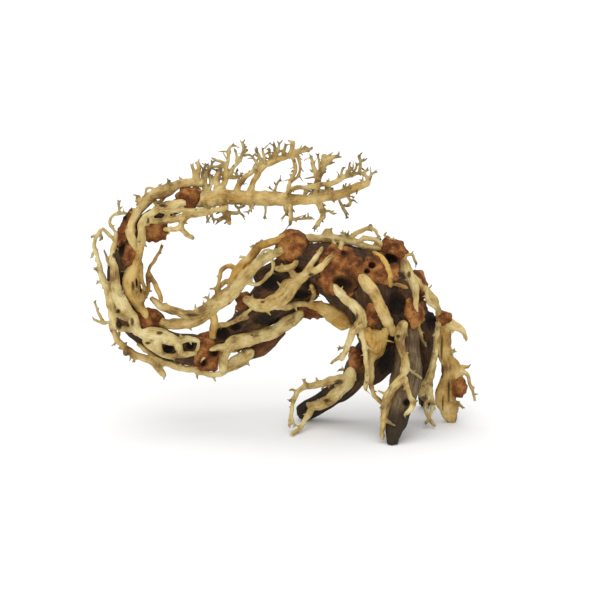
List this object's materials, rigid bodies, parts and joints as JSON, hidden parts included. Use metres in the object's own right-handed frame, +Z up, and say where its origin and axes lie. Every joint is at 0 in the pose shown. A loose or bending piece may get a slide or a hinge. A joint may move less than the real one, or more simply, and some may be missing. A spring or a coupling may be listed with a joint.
{
  "type": "dragon wood driftwood ornament",
  "caption": "Standing driftwood ornament of dark wood wrapped in pale roots, curled like a rearing tail, held with wood putty; for an aquarium, terrarium or shelf.",
  "frame": {"origin": "middle of the bottom of the bounding box, on the surface that the legs stand on", "axes": "+Z up; +X along the length, from the curled end to the foot end; +Y away from the side seen in the picture"},
  "size_m": [0.386, 0.1427, 0.2891],
  "materials": {
    "dark_wood": "rough weathered dark brown wood",
    "pale_root": "peeled smooth root, pale cream to straw",
    "ochre_root": "peeled smooth root, yellow ochre",
    "putty": "rough red-brown putty of sawdust and glue"
  },
  "bodies": {
    "root": {"wood_hump": "dark_wood", "wood_belly": "dark_wood", "wood_bend": "dark_wood", "wood_stub": "dark_wood", "leg_front": "dark_wood", "leg_left": "dark_wood", "leg_right": "dark_wood", "leg_middle": "dark_wood", "tail_root": "pale_root", "brow_root": "pale_root", "neck_root": "pale_root", "bend_root": "ochre_root", "arch_root": "pale_root", "throat_root": "pale_root", "cheek_root": "pale_root", "lattice_root": "pale_root", "keel_root": "pale_root", "belly_root": "pale_root", "belly_twig": "pale_root", "shoulder_root": "pale_root", "web_root": "ochre_root", "crest_root": "pale_root", "yellow_root": "ochre_root", "tan_root": "pale_root", "shank_root": "ochre_root", "shin_root": "pale_root", "flank_root": "pale_root", "flag_root": "pale_root", "foot_root": "pale_root", "leg_root": "pale_root", "nape_root": "pale_root", "loin_root": "ochre_root", "back_root": "pale_root", "hock_root": "pale_root", "putty_tail": "putty", "putty_collar": "putty", "putty_cheek": "putty", "putty_jaw": "putty", "putty_chin": "putty", "putty_loop": "putty", "putty_belly": "putty", "putty_chest": "putty", "putty_rib": "putty", "putty_heart": "putty", "putty_blade": "putty", "putty_crest": "putty", "putty_flank": "putty", "putty_hip": "putty", "putty_haunch": "putty", "putty_flag": "putty", "putty_knee": "putty", "putty_heel": "putty", "putty_spine": "putty", "putty_rump": "putty", "putty_nape": "putty"}
  },
  "joints": []
}
